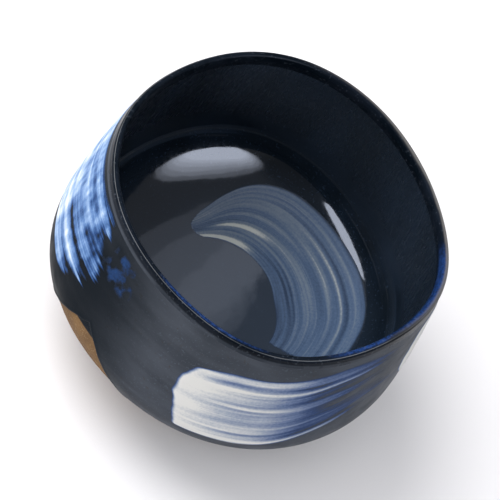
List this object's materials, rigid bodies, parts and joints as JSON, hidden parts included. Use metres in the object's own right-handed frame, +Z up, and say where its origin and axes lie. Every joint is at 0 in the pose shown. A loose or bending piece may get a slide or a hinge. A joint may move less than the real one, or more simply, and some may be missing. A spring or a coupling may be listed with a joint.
{
  "type": "matcha bowl",
  "caption": "Deep round tea bowl with a wavy lip, dark glaze, brushed slip strokes and a bare clay foot ring.",
  "frame": {"origin": "centre of the foot's resting face, on the table", "axes": "+Z up along the bowl's axis; +Y away from the side with the front brush stroke; +X to the right seen from that side"},
  "size_m": [0.1195, 0.121, 0.0821],
  "materials": {
    "bare_clay": "matt, unglazed, with fine sand",
    "foot_clay": "matt, turned, darker at the resting edge",
    "black_glaze": "satin, near black, fine speckle",
    "slate_glaze": "satin, slate grey, fine speckle",
    "gloss_glaze": "glossy, blue-black",
    "blue_lip_glaze": "glossy, dark with a cobalt run and a brown-grey edge",
    "front_slip": "satin, streaked white to blue",
    "right_slip": "satin, streaked white to blue",
    "left_slip": "satin, streaked white to blue",
    "well_slip": "glossy, pale streaks under a dark glaze"
  },
  "bodies": {
    "root": {"clay_body": "bare_clay", "foot_ring": "foot_clay", "left_dip_glaze": "black_glaze", "right_dip_glaze": "slate_glaze", "inner_glaze": "gloss_glaze", "lip_glaze": "blue_lip_glaze", "front_brush_stroke": "front_slip", "right_brush_stroke": "right_slip", "left_brush_stroke": "left_slip", "well_brush_stroke": "well_slip"}
  },
  "joints": []
}
